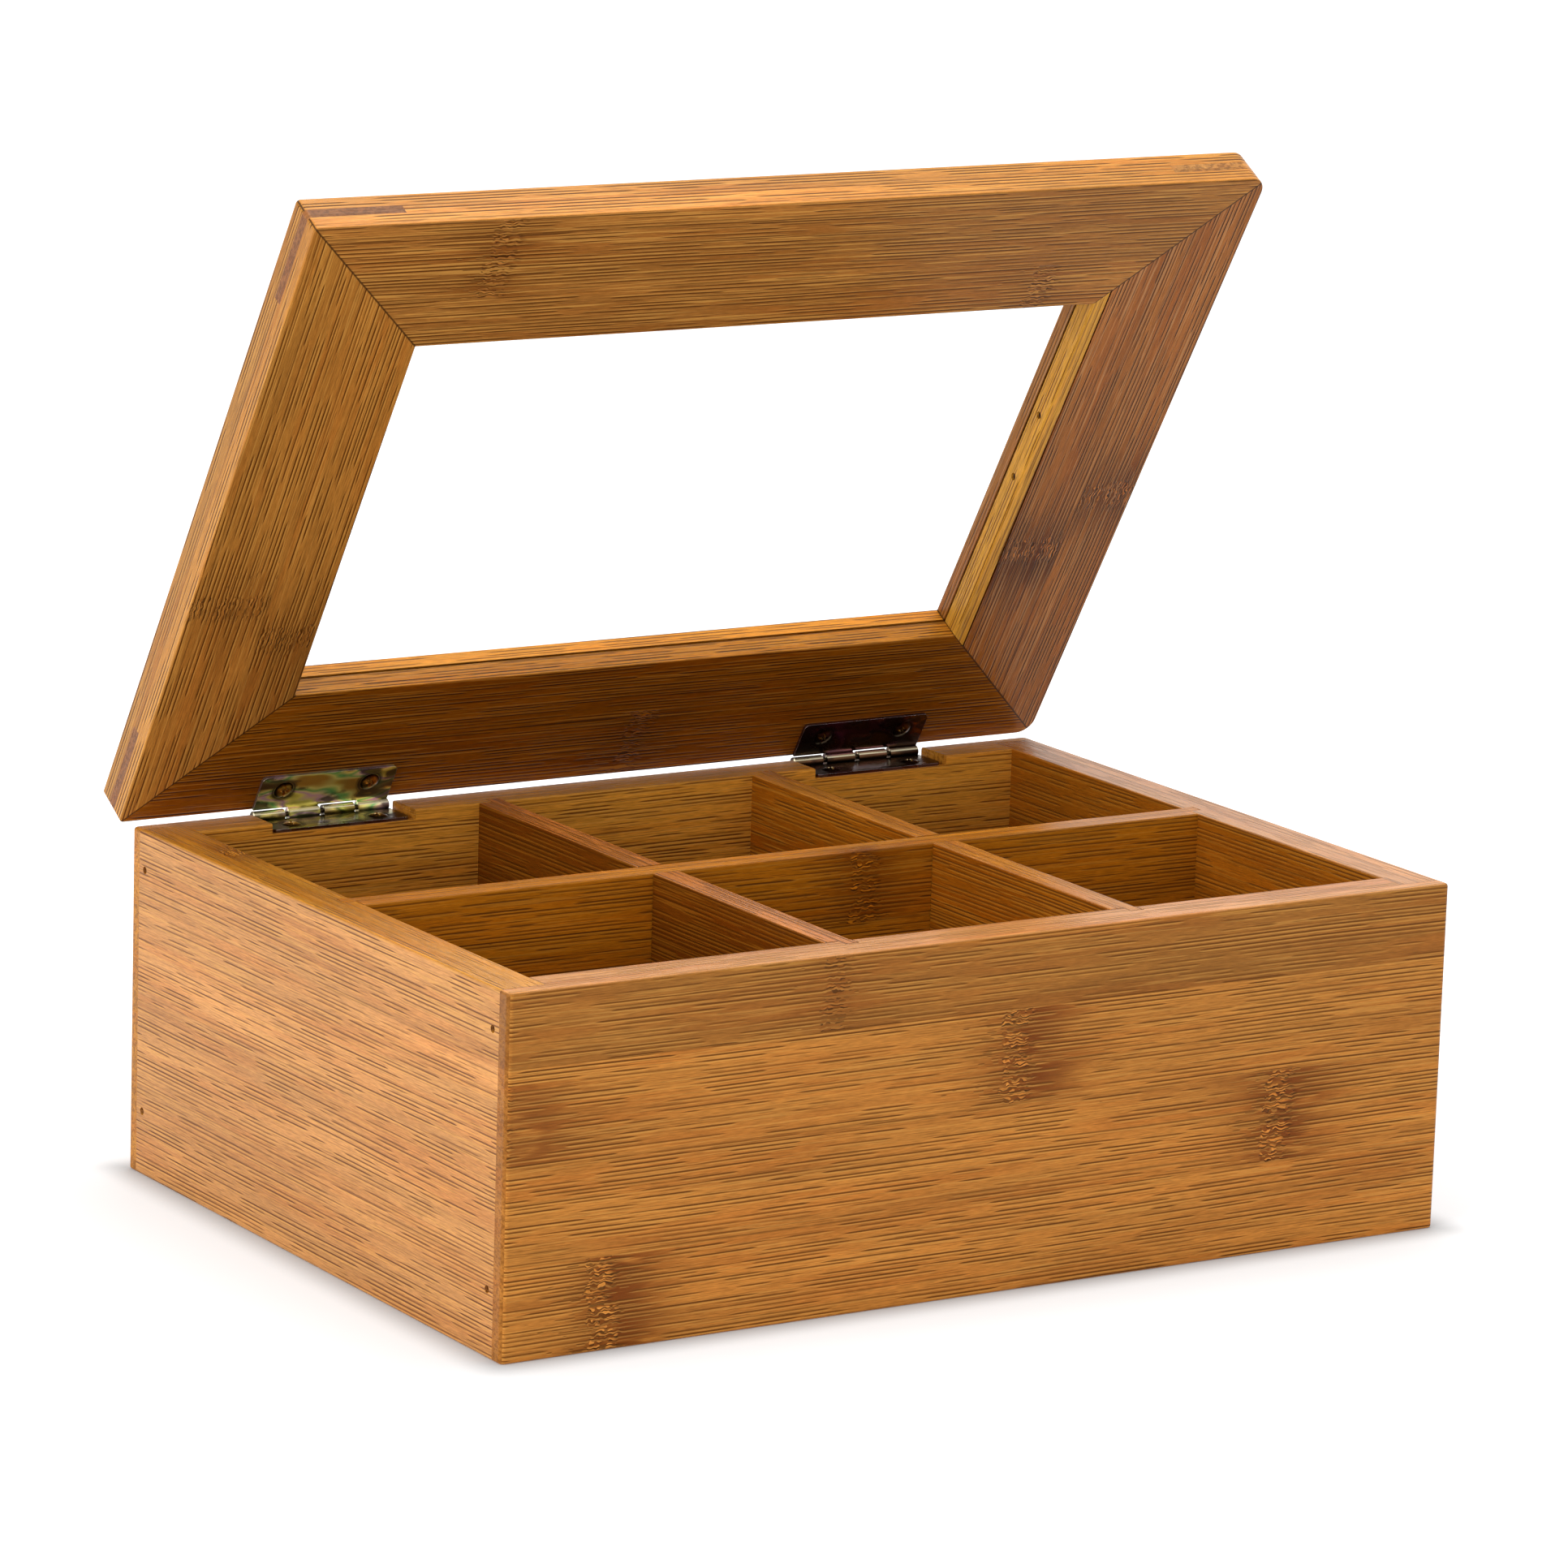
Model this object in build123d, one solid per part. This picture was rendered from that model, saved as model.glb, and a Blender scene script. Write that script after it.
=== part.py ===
"""A bamboo tea box: lapped walls, halved dividers, and a mitred lid with a clear pane on two butt hinges.

Millimetres. The origin is the centre of the underside, X runs to the right, Y to the back, Z up.
The lid is modelled shut and then swung open to its rest angle.
"""

from build123d import *
import os
from math import sqrt

os.makedirs("parts", exist_ok=True)

# Box: outside sizes and board thicknesses
box_width = 285.0
box_depth = 202.0
box_height = 94.0
wall = 13.0
lap_lip = 4.5  # what the front and back boards keep beyond the side boards' ends
box_corner_radius = 1.5
rim_arris = 0.9  # rounding of the outer arris round the rim
inner_arris = 0.5
foot_arris = 0.7

# Bottom panel, let into a rabbet that opens downwards
bottom_thickness = 5.0
bottom_bearing = 6.0  # how far the panel reaches under each wall
bottom_fit = 0.2

# Dividers and the bays between them; the right and the back bays take what is left
divider = 8.0
left_bay = 85.5
middle_bay = 79.0
front_bay = 84.0
tongue_length = 3.5
tongue_thickness = 4.0  # the tongues are bare on one face
tongue_fit = 0.1
tongue_end_gap = 0.3
lap_fit = 0.15

# Lid frame
lid_thickness = 12.0
lid_side_overhang = 3.0
rail_width = 41.0
lid_left_radius = 1.2
lid_right_radius = 5.0
lid_arris = 0.5
window_arris = 0.5
closing_gap = 0.4  # between the rim and the lid's inner face when shut

# Keys let into saw kerfs across the lid's mitres
key_reach = 28.0  # seen along each edge of the corner
key_cutter_radius = 60.0
key_thickness = 3.0

# Pane, its groove, and the bead that closes the right stile's rabbet
outer_lip = 4.4
pane_thickness = 1.2
pane_fit = 0.1
pane_engagement = 3.9
pane_end_gap = 0.3
bead_width = 4.0
bead_kerf = 0.6

# Butt hinges
hinge_inset = 57.0  # from the side of the box to the middle of the hinge
leaf_length = 41.0
leaf_thickness = 0.85
leaf_corner_radius = 1.6
leaf_shy = 0.6  # the leaf's front edge stays this far behind the wall's inner face
leaf_screw_inset = 7.4  # from the leaf's end to the screw
leaf_screw_edge = 5.0  # from the leaf's front edge to the screw
knuckle_count = 4  # taken in turn by the box's leaf and the lid's
knuckle_gap = 1.4
knuckle_relief = 0.2  # room round the other leaf's knuckles
pin_radius = 0.7
pin_clearance = 0.05
pin_behind_box = 1.0
pin_behind_lid = 1.3
notch_end_gap = 1.3
lid_rest_angle = 59.0  # from shut

# Countersunk screws with a raised head and a cross recess
screw_head_radius = 2.8
screw_dome = 0.6
screw_countersink = 1.6
screw_shank_radius = 1.2
screw_tip = 2.0
screw_length = 9.5
screw_fit = 0.02
recess_span = 3.2
recess_slot = 0.7
recess_depth = 1.1
recess_taper = 12.0

# Brads, driven below the surface
brad_radius = 0.6
brad_head_radius = 1.0
brad_head = 0.5
brad_fit = 0.02
corner_brad_length = 25.0
corner_brad_sink = 1.2
corner_brad_inset = 7.6  # from the front or back face
corner_brad_low = 17.5
corner_brad_high = 83.5
bottom_brad_length = 15.0
bottom_brad_sink = 0.3
bottom_brad_inset = 34.5  # from the inner corner
bead_brad_length = 12.0
bead_brad_sink = 0.7
bead_brad_low = 97.0  # from the lid's back edge
bead_brad_high = 119.0

# Worked out from the sizes above
half_width = box_width / 2
half_depth = box_depth / 2
inner_x = half_width - wall
inner_y = half_depth - wall
left_cross_x = -inner_x + left_bay + divider / 2
right_cross_x = left_cross_x + middle_bay + divider
long_y = -inner_y + front_bay + divider / 2
lap_height = (box_height + bottom_thickness) / 2

barrel_radius = pin_radius + pin_clearance + leaf_thickness
pin_y = half_depth + pin_behind_box
pin_z = box_height + closing_gap - barrel_radius
leaf_reach = wall + pin_behind_box - leaf_shy
knuckle_length = (leaf_length + knuckle_gap) / knuckle_count - knuckle_gap
hinge_x = half_width - hinge_inset
notch_floor = pin_z - barrel_radius

lid_width = box_width + 2 * lid_side_overhang
lid_back = pin_y - pin_behind_lid
lid_depth = lid_back + half_depth
lid_middle_y = (lid_back - half_depth) / 2
lid_inside = box_height + closing_gap
window_width = lid_width - 2 * rail_width
window_depth = lid_depth - 2 * rail_width
pane_slot = pane_thickness + 2 * pane_fit
pane_middle_z = lid_inside + lid_thickness - outer_lip - pane_slot / 2


def block(x0, x1, y0, y1, z0, z1):
    """Square block between two opposite corners."""
    return Pos((x0 + x1) / 2, (y0 + y1) / 2, (z0 + z1) / 2) * Box(x1 - x0, y1 - y0, z1 - z0)


def brad(length):
    """Brad that points down from the middle of its head's top."""
    head = Pos(0, 0, -brad_head / 2) * Cylinder(brad_head_radius, brad_head)
    shank = Pos(0, 0, -length / 2) * Cylinder(brad_radius, length)
    return head + shank


def brad_hole(length, sink):
    """Hole that a brad leaves: the head's pocket, open to the surface, and the shank's bore."""
    pocket_depth = sink + brad_head
    pocket = Pos(0, 0, pocket_depth / 2 - brad_head) * Cylinder(brad_head_radius + brad_fit, pocket_depth)
    bore = Pos(0, 0, -length / 2) * Cylinder(brad_radius + brad_fit, length)
    return pocket + bore


def driven(points, outward, sink):
    """Place of each brad's head, a sink below the surface that its point lies on."""
    step = Vector(*outward) * sink
    return [Plane(origin=Vector(*point) - step, z_dir=outward).location for point in points]


def cut_all(body, places, tool):
    """Body with the tool taken out at every place."""
    for place in places:
        body -= place * tool
    return body


def screw():
    """Screw that points down, its countersink's rim on the plane z = 0."""
    sphere = (screw_head_radius**2 + screw_dome**2) / (2 * screw_dome)
    middle = (screw_head_radius / 2, screw_dome - sphere + sqrt(sphere**2 - screw_head_radius**2 / 4))
    with BuildPart() as part:
        with BuildSketch(Plane.XZ):
            with BuildLine():
                Polyline(
                    (0, screw_dome),
                    (0, -screw_length),
                    (screw_shank_radius, screw_tip - screw_length),
                    (screw_shank_radius, -screw_countersink),
                    (screw_head_radius, 0),
                )
                ThreePointArc((screw_head_radius, 0), middle, (0, screw_dome))
            make_face()
        revolve(axis=Axis.Z)
    cross = Rectangle(recess_span, recess_slot) + Rectangle(recess_slot, recess_span)
    recess = extrude(Pos(0, 0, screw_dome) * cross, amount=recess_depth, dir=(0, 0, -1), taper=recess_taper)
    return part.part - recess


def screw_hole():
    """Countersunk hole for the screw, open above its rim."""
    with BuildPart() as part:
        with BuildSketch(Plane.XZ):
            with BuildLine():
                Polyline(
                    (0, screw_dome),
                    (0, -screw_length - screw_fit),
                    (screw_shank_radius + screw_fit, -screw_length - screw_fit),
                    (screw_shank_radius + screw_fit, -screw_countersink),
                    (screw_head_radius + screw_fit, 0),
                    (screw_head_radius + screw_fit, screw_dome),
                    close=True,
                )
            make_face()
        revolve(axis=Axis.Z)
    return part.part


# Places of a leaf's two screws, seen from the pin's middle, on the face that the heads sit in
leaf_screw_x = leaf_length / 2 - leaf_screw_inset
leaf_screw_y = leaf_screw_edge - leaf_reach
leaf_screw_z = leaf_thickness - barrel_radius
leaf_screw_places = [Pos(x, leaf_screw_y, leaf_screw_z) for x in (-leaf_screw_x, leaf_screw_x)]


def hinge_leaf(own_knuckles):
    """Leaf with its pin's middle at the origin: the plate lies below the pin and runs to the front."""
    edge_x = leaf_length / 2
    relief = barrel_radius + knuckle_relief
    plate = block(-edge_x, edge_x, -leaf_reach, -relief, -barrel_radius, leaf_thickness - barrel_radius)
    plate = fillet(plate.edges().filter_by(Axis.Z).group_by(Axis.Y)[0], leaf_corner_radius)
    for index in own_knuckles:
        x0 = -edge_x + index * (knuckle_length + knuckle_gap)
        x1 = x0 + knuckle_length
        plate += block(x0, x1, -relief, 0, -barrel_radius, leaf_thickness - barrel_radius)
        plate += Pos((x0 + x1) / 2, 0, 0) * Rot(0, 90, 0) * Cylinder(barrel_radius, knuckle_length)
    plate -= Rot(0, 90, 0) * Cylinder(pin_radius + pin_clearance, leaf_length)
    return cut_all(plate, leaf_screw_places, screw_hole())


def hinge_pin():
    """Plain pin along X, its ends slightly rounded."""
    pin = Rot(0, 90, 0) * Cylinder(pin_radius, leaf_length)
    return chamfer(pin.edges().filter_by(GeomType.CIRCLE), pin_radius / 4)


def box_ring():
    """The four walls as one ring, rounded as it is sanded once glued."""
    plan = fillet(Rectangle(box_width, box_depth).vertices(), box_corner_radius)
    ring = extrude(plan - Rectangle(2 * inner_x, 2 * inner_y), box_height)
    rim = ring.faces().sort_by(Axis.Z)[-1]
    ring = fillet(rim.outer_wire().edges(), rim_arris)
    rim = ring.faces().sort_by(Axis.Z)[-1]
    ring = fillet(rim.inner_wires()[0].edges(), inner_arris)
    foot = ring.faces().sort_by(Axis.Z)[0]
    ring = fillet(foot.outer_wire().edges(), foot_arris)
    reach_x = inner_x + bottom_bearing
    reach_y = inner_y + bottom_bearing
    return ring - block(-reach_x, reach_x, -reach_y, reach_y, 0, bottom_thickness)


def groove(x, y, width_x, width_y):
    """Groove for a tongue, through the wall's whole height."""
    return Pos(x, y, box_height / 2) * Box(width_x, width_y, box_height)


def front_plan():
    """Plan of the front board: full width at its face, shouldered between the side boards."""
    corner = half_width - wall
    lip_y = lap_lip - half_depth
    shoulder_y = wall - half_depth
    return Polygon(
        (-half_width, -half_depth),
        (half_width, -half_depth),
        (half_width, lip_y),
        (corner, lip_y),
        (corner, shoulder_y),
        (-corner, shoulder_y),
        (-corner, lip_y),
        (-half_width, lip_y),
        align=None,
    )


# Walls: the ring parted at its lapped corners, with grooves for the dividers' tongues
groove_width = tongue_thickness + 2 * tongue_fit
groove_depth = tongue_length + tongue_end_gap
ring = box_ring()
front_block = extrude(front_plan(), box_height)
front_wall = ring & front_block
back_wall = ring & mirror(front_block, about=Plane.XZ)
side_reach = half_depth - lap_lip
left_wall = ring & block(-half_width, -inner_x, -side_reach, side_reach, 0, box_height)
right_wall = ring & block(inner_x, half_width, -side_reach, side_reach, 0, box_height)

for cross_x in (left_cross_x, right_cross_x):
    tongue_x = cross_x + tongue_thickness / 2
    front_wall -= groove(tongue_x, -inner_y, groove_width, 2 * groove_depth)
    back_wall -= groove(tongue_x, inner_y, groove_width, 2 * groove_depth)
tongue_y = long_y + tongue_thickness / 2
left_wall -= groove(-inner_x, tongue_y, 2 * groove_depth, groove_width)
right_wall -= groove(inner_x, tongue_y, 2 * groove_depth, groove_width)

# Bottom panel
panel_x = inner_x + bottom_bearing - bottom_fit
panel_y = inner_y + bottom_bearing - bottom_fit
bottom_panel = block(-panel_x, panel_x, -panel_y, panel_y, 0, bottom_thickness)

# Brads through the side boards into the shoulders of the front and back boards
corner_heads = []
for side in (-1, 1):
    points = [
        (side * half_width, end * (half_depth - corner_brad_inset), height)
        for end in (-1, 1)
        for height in (corner_brad_low, corner_brad_high)
    ]
    corner_heads += driven(points, (side, 0, 0), corner_brad_sink)
corner_hole = brad_hole(corner_brad_length, corner_brad_sink)
front_wall = cut_all(front_wall, corner_heads, corner_hole)
back_wall = cut_all(back_wall, corner_heads, corner_hole)
left_wall = cut_all(left_wall, corner_heads, corner_hole)
right_wall = cut_all(right_wall, corner_heads, corner_hole)
corner_brads = [place * brad(corner_brad_length) for place in corner_heads]

# Brads up through the edge of the bottom panel
row_x = inner_x + bottom_bearing / 2
row_y = inner_y + bottom_bearing / 2
column_x = inner_x - bottom_brad_inset
column_y = inner_y - bottom_brad_inset
bottom_points = [(x, y, 0) for x in (-column_x, 0, column_x) for y in (-row_y, row_y)]
bottom_points += [(x, y, 0) for x in (-row_x, row_x) for y in (-column_y, column_y)]
bottom_heads = driven(bottom_points, (0, 0, -1), bottom_brad_sink)
bottom_hole = brad_hole(bottom_brad_length, bottom_brad_sink)
bottom_panel = cut_all(bottom_panel, bottom_heads, bottom_hole)
front_wall = cut_all(front_wall, bottom_heads, bottom_hole)
back_wall = cut_all(back_wall, bottom_heads, bottom_hole)
left_wall = cut_all(left_wall, bottom_heads, bottom_hole)
right_wall = cut_all(right_wall, bottom_heads, bottom_hole)
bottom_brads = [place * brad(bottom_brad_length) for place in bottom_heads]


def divider_board(half_length):
    """Divider along X, centred on x = 0 and y = 0, with a tongue on the back half of each end."""
    board = block(-half_length, half_length, -divider / 2, divider / 2, bottom_thickness, box_height)
    board = fillet(board.edges().filter_by(Axis.X).group_by(Axis.Z)[-1], inner_arris)
    end = half_length + tongue_length
    board += block(-end, -half_length, 0, tongue_thickness, bottom_thickness, box_height)
    board += block(half_length, end, 0, tongue_thickness, bottom_thickness, box_height)
    return board


# The long divider is open from below at each crossing, and the cross dividers from above.
lap_half = divider / 2 + lap_fit
long_divider = Pos(0, long_y, 0) * divider_board(inner_x)
cross_board = Rot(0, 0, -90) * divider_board(inner_y)
cross_board -= block(-divider, divider, long_y - lap_half, long_y + lap_half, lap_height, box_height)
left_cross_divider = Pos(left_cross_x, 0, 0) * cross_board
right_cross_divider = Pos(right_cross_x, 0, 0) * cross_board
for cross_x in (left_cross_x, right_cross_x):
    x0 = cross_x - lap_half
    x1 = cross_x + lap_half
    long_divider -= block(x0, x1, -half_depth, half_depth, bottom_thickness, lap_height)

# Lid frame: one blank, rounded, and then parted at its mitres
plan = Rectangle(lid_width, lid_depth)
plan = fillet(plan.vertices().group_by(Axis.X)[0], lid_left_radius)
plan = fillet(plan.vertices().group_by(Axis.X)[-1], lid_right_radius)
blank = extrude(plan - Rectangle(window_width, window_depth), lid_thickness)
for level in (0, -1):
    face = blank.faces().sort_by(Axis.Z)[level]
    blank = fillet(face.outer_wire().edges(), lid_arris)
    face = blank.faces().sort_by(Axis.Z)[level]
    blank = fillet(face.inner_wires()[0].edges(), window_arris)
blank = Pos(0, lid_middle_y, lid_inside) * blank

# Keys: what the saw's disc takes out of each corner, filled with a slip
half_chord = key_reach / sqrt(2)
cutter_stand_off = (sqrt(key_cutter_radius**2 - half_chord**2) - half_chord) / sqrt(2)
kerfs = {
    front + "_" + side: Pos(
        x_sign * (lid_width / 2 + cutter_stand_off),
        lid_middle_y + y_sign * (lid_depth / 2 + cutter_stand_off),
        lid_inside + lid_thickness / 2,
    )
    * Cylinder(key_cutter_radius, key_thickness)
    for front, y_sign in (("front", -1), ("back", 1))
    for side, x_sign in (("left", -1), ("right", 1))
}
keys = {name: blank & kerf for name, kerf in kerfs.items()}


def member(*signs):
    """Rail or stile along the window's edge between two of its corners, cut off at the mitres."""
    near_x = window_width / 2
    near_y = window_depth / 2
    far_x = near_x + rail_width
    far_y = near_y + rail_width
    near = [(x * near_x, y * near_y) for x, y in signs]
    far = [(x * far_x, y * far_y) for x, y in reversed(signs)]
    wedge = extrude(Polygon(*near, *far, align=None), lid_thickness, dir=(0, 0, 1))
    piece = blank & (Pos(0, lid_middle_y, lid_inside) * wedge)
    for kerf in kerfs.values():
        piece -= kerf
    return piece


# The pane lies in a groove on three sides and in the right stile's rabbet on the fourth.
slot_reach = pane_engagement + pane_end_gap
slot = Pos(0, lid_middle_y, pane_middle_z) * Box(
    window_width + 2 * slot_reach, window_depth + 2 * slot_reach, pane_slot
)
window_pane = Pos(0, lid_middle_y, pane_middle_z) * Box(
    window_width + 2 * pane_engagement, window_depth + 2 * pane_engagement, pane_thickness
)
front_rail = member((-1, -1), (1, -1)) - slot
hinge_rail = member((-1, 1), (1, 1)) - slot
left_stile = member((-1, -1), (-1, 1)) - slot
bead_x = window_width / 2
rabbet_top = pane_middle_z + pane_slot / 2
bead_top = pane_middle_z - pane_slot / 2
stile_blank = member((1, -1), (1, 1))
rabbet_x = bead_x + bead_width + bead_kerf
right_stile = stile_blank - block(0, rabbet_x, -half_depth, lid_back, lid_inside, rabbet_top)
glazing_bead = stile_blank & block(0, bead_x + bead_width, -half_depth, lid_back, lid_inside, bead_top)

# Brads through the bead into the stile
bead_brad_z = (lid_inside + bead_top) / 2
bead_points = [(bead_x, lid_back - along, bead_brad_z) for along in (bead_brad_low, bead_brad_high)]
bead_heads = driven(bead_points, (-1, 0, 0), bead_brad_sink)
bead_hole = brad_hole(bead_brad_length, bead_brad_sink)
glazing_bead = cut_all(glazing_bead, bead_heads, bead_hole)
right_stile = cut_all(right_stile, bead_heads, bead_hole)
bead_brads = [place * brad(bead_brad_length) for place in bead_heads]


def opened(part):
    """Lid piece swung from shut to the rest angle about the hinge pins."""
    return part.rotate(Axis((0, pin_y, pin_z), (1, 0, 0)), -lid_rest_angle)


# Hinges: box leaves lie in notches, lid leaves on the lid's inner face
box_leaf = hinge_leaf((0, 2))
lid_leaf = mirror(hinge_leaf((1, 3)), about=Plane.XY)
notch_reach = leaf_length / 2 + notch_end_gap
nodes = {}
for side, middle_x in (("left", -hinge_x), ("right", hinge_x)):
    at_pin = Pos(middle_x, pin_y, pin_z)
    x0 = middle_x - notch_reach
    x1 = middle_x + notch_reach
    back_wall -= block(x0, x1, inner_y, half_depth, notch_floor, box_height)
    box_screws = []
    lid_screws = []
    for place in leaf_screw_places:
        back_wall -= at_pin * place * screw_hole()
        hinge_rail -= at_pin * mirror(place * screw_hole(), about=Plane.XY)
        box_screws.append(at_pin * place * screw())
        lid_screws.append(at_pin * mirror(place * screw(), about=Plane.XY))
    nodes[side + "_box_leaf"] = at_pin * box_leaf
    nodes[side + "_hinge_pin"] = at_pin * hinge_pin()
    nodes[side + "_box_leaf_screws"] = Compound(box_screws)
    nodes[side + "_lid_leaf"] = opened(at_pin * lid_leaf)
    nodes[side + "_lid_leaf_screws"] = opened(Compound(lid_screws))

nodes["front_wall"] = front_wall
nodes["back_wall"] = back_wall
nodes["left_wall"] = left_wall
nodes["right_wall"] = right_wall
nodes["bottom_panel"] = bottom_panel
nodes["long_divider"] = long_divider
nodes["left_cross_divider"] = left_cross_divider
nodes["right_cross_divider"] = right_cross_divider
nodes["corner_brads"] = Compound(corner_brads)
nodes["bottom_brads"] = Compound(bottom_brads)
nodes["lid_front_rail"] = opened(front_rail)
nodes["lid_hinge_rail"] = opened(hinge_rail)
nodes["lid_left_stile"] = opened(left_stile)
nodes["lid_right_stile"] = opened(right_stile)
nodes["glazing_bead"] = opened(glazing_bead)
nodes["window_pane"] = opened(window_pane)
nodes["bead_brads"] = opened(Compound(bead_brads))
for name, key in keys.items():
    nodes["lid_" + name + "_key"] = opened(key)

for name, part in nodes.items():
    export_step(part, "parts/" + name + ".step")
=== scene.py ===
from math import pi, radians

import bpy
from mathutils import Matrix, Vector

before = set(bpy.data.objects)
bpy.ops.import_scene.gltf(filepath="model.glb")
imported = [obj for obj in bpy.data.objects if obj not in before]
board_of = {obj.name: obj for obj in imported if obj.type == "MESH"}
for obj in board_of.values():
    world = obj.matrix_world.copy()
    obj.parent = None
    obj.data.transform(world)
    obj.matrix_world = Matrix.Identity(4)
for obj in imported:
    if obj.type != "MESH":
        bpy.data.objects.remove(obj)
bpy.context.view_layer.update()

# ---------------------------------------------------------------- walls
# The four walls of the box: carbonised bamboo boards 13 mm thick, pressed from two plies of 25 mm strips,
# lapped at the corners, glued and nailed, then sanded and given a thin satin lacquer.


def put(tree, socket, value):
    """Feeds a socket: another node's output is linked to it, and anything else is set on it."""
    if isinstance(value, bpy.types.NodeSocket):
        tree.links.new(value, socket)
    elif value is not None:
        socket.default_value = value


def sums(tree, operation, *values):
    """One Math node, such as MULTIPLY, on the given values."""
    node = tree.nodes.new("ShaderNodeMath")
    node.operation = operation
    for socket, value in zip(node.inputs, values):
        put(tree, socket, value)
    return node.outputs[0]


def vectors(tree, operation, *values):
    """One Vector Math node on the given values."""
    node = tree.nodes.new("ShaderNodeVectorMath")
    node.operation = operation
    for socket, value in zip(node.inputs, values):
        put(tree, socket, value)
    return node.outputs[0]


def ramp(tree, value, start, end, low=0.0, high=1.0):
    """A smooth rise from low to high as the value goes from start to end."""
    node = tree.nodes.new("ShaderNodeMapRange")
    node.interpolation_type = "SMOOTHSTEP"
    for socket, number in zip(node.inputs, (value, start, end, low, high)):
        put(tree, socket, number)
    return node.outputs[0]


def tint(tree, share, under, over, blend="MIX"):
    """Lays the colour over on the colour under, by the share given."""
    node = tree.nodes.new("ShaderNodeMix")
    node.data_type = "RGBA"
    node.blend_type = blend
    put(tree, node.inputs[0], share)
    put(tree, node.inputs[6], under)
    put(tree, node.inputs[7], over)
    return node.outputs[2]


def fleck(tree, point, stretch, detail=1.0, shift=0.0):
    """Noise on a point in millimetres, with one fleck about as large as stretch says along each axis."""
    node = tree.nodes.new("ShaderNodeTexNoise")
    in_flecks = vectors(tree, "DIVIDE", point, stretch)
    put(tree, node.inputs["Vector"], vectors(tree, "ADD", in_flecks, (shift, shift * 0.7, shift * 0.3)))
    node.inputs["Scale"].default_value = 1.0
    node.inputs["Detail"].default_value = detail
    return node.outputs[0]


def new_group(name, takes, gives):
    """An empty node group with the named inputs and outputs, and its two end nodes."""
    tree = bpy.data.node_groups.new(name, "ShaderNodeTree")
    kinds = {"v": "NodeSocketVector", "f": "NodeSocketFloat", "c": "NodeSocketColor"}
    for label, kind in takes:
        tree.interface.new_socket(label, in_out="INPUT", socket_type=kinds[kind])
    for label, kind in gives:
        tree.interface.new_socket(label, in_out="OUTPUT", socket_type=kinds[kind])
    return tree, tree.nodes.new("NodeGroupInput").outputs, tree.nodes.new("NodeGroupOutput").inputs


def in_parts(tree, vector):
    """The three parts of a vector or of a colour."""
    node = tree.nodes.new("ShaderNodeSeparateXYZ")
    put(tree, node.inputs[0], vector)
    return node.outputs


def scaled(tree, colour, by):
    """A colour made lighter or darker by a factor."""
    result = vectors(tree, "SCALE", colour)
    put(tree, result.node.inputs["Scale"], by)
    return result


def from_parts(tree, *values):
    """A vector of up to three given parts."""
    node = tree.nodes.new("ShaderNodeCombineXYZ")
    for socket, value in zip(node.inputs, values):
        put(tree, socket, value)
    return node.outputs[0]


def by_chance(tree, number):
    """Three chances from 0 to 1 that belong to a whole number."""
    node = tree.nodes.new("ShaderNodeTexWhiteNoise")
    node.noise_dimensions = "1D"
    put(tree, node.inputs["W"], number)
    return in_parts(tree, node.outputs["Color"])


def fading(tree, distance, steep):
    """A bell that is 1 at distance 0: e to the power of minus steep times the distance squared."""
    squared = sums(tree, "MULTIPLY", distance, distance)
    return sums(tree, "EXPONENT", sums(tree, "MULTIPLY", squared, -steep))


# A culm's joint crosses one strip as a crooked band: the fibres wrinkle there, and the wood beside it is
# browner. Low and High are the strip's edges, Lean is how far the brown lies to one side of the band.
joint_mark, has, out = new_group(
    "culm_joint",
    [("Point", "v"), ("Along", "f"), ("Low", "f"), ("High", "f"), ("Face", "f"), ("Brown", "f"),
     ("Lean", "f")],
    [("Wrinkle", "f"), ("Scorch", "f"), ("Near", "f")],
)
most_crook = 3.5
point = has["Point"]
u, v, w = in_parts(joint_mark, point)
sway = fleck(joint_mark, point, (30.0, 4.0, 4.0), 2.0, 3.0)
crook = sums(joint_mark, "MULTIPLY_ADD", sway, 2.0 * most_crook, -most_crook)
off = sums(joint_mark, "SUBTRACT", sums(joint_mark, "SUBTRACT", u, has["Along"]), crook)
from_low = ramp(joint_mark, sums(joint_mark, "SUBTRACT", v, has["Low"]), 0.0, 0.5)
to_high = ramp(joint_mark, sums(joint_mark, "SUBTRACT", has["High"], v), 0.0, 0.5)
on_face = ramp(joint_mark, sums(joint_mark, "MULTIPLY", w, has["Face"]), -0.2, 0.2)
inside = sums(joint_mark, "MULTIPLY", sums(joint_mark, "MULTIPLY", from_low, to_high), on_face)
strength = sums(joint_mark, "MULTIPLY", sums(joint_mark, "MULTIPLY_ADD", has["Brown"], 0.6, 0.4), inside)
patchy = ramp(joint_mark, fleck(joint_mark, point, (30.0, 3.0, 3.0), 1.0, 23.0), 0.3, 0.55, 0.4, 1.0)
past_band = ramp(joint_mark, off, 4.0, 12.0, 1.0, 0.0)
band = sums(joint_mark, "MULTIPLY", ramp(joint_mark, off, -0.8, 0.8), past_band)
wrinkle = sums(joint_mark, "MULTIPLY", sums(joint_mark, "MULTIPLY", band, patchy), strength)
put(joint_mark, out["Wrinkle"], wrinkle)
put(joint_mark, out["Near"], sums(joint_mark, "MULTIPLY", fading(joint_mark, off, 0.006), strength))
wide_smoke = fleck(joint_mark, point, (16.0, 6.0, 6.0), 1.0, 17.0)
thin_smoke = fleck(joint_mark, point, (12.0, 1.2, 1.2), 2.0, 7.0)
smoke = ramp(joint_mark, sums(joint_mark, "ADD", wide_smoke, thin_smoke), 0.58, 1.0)
halo = fading(joint_mark, sums(joint_mark, "SUBTRACT", off, has["Lean"]), 0.0045)
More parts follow.
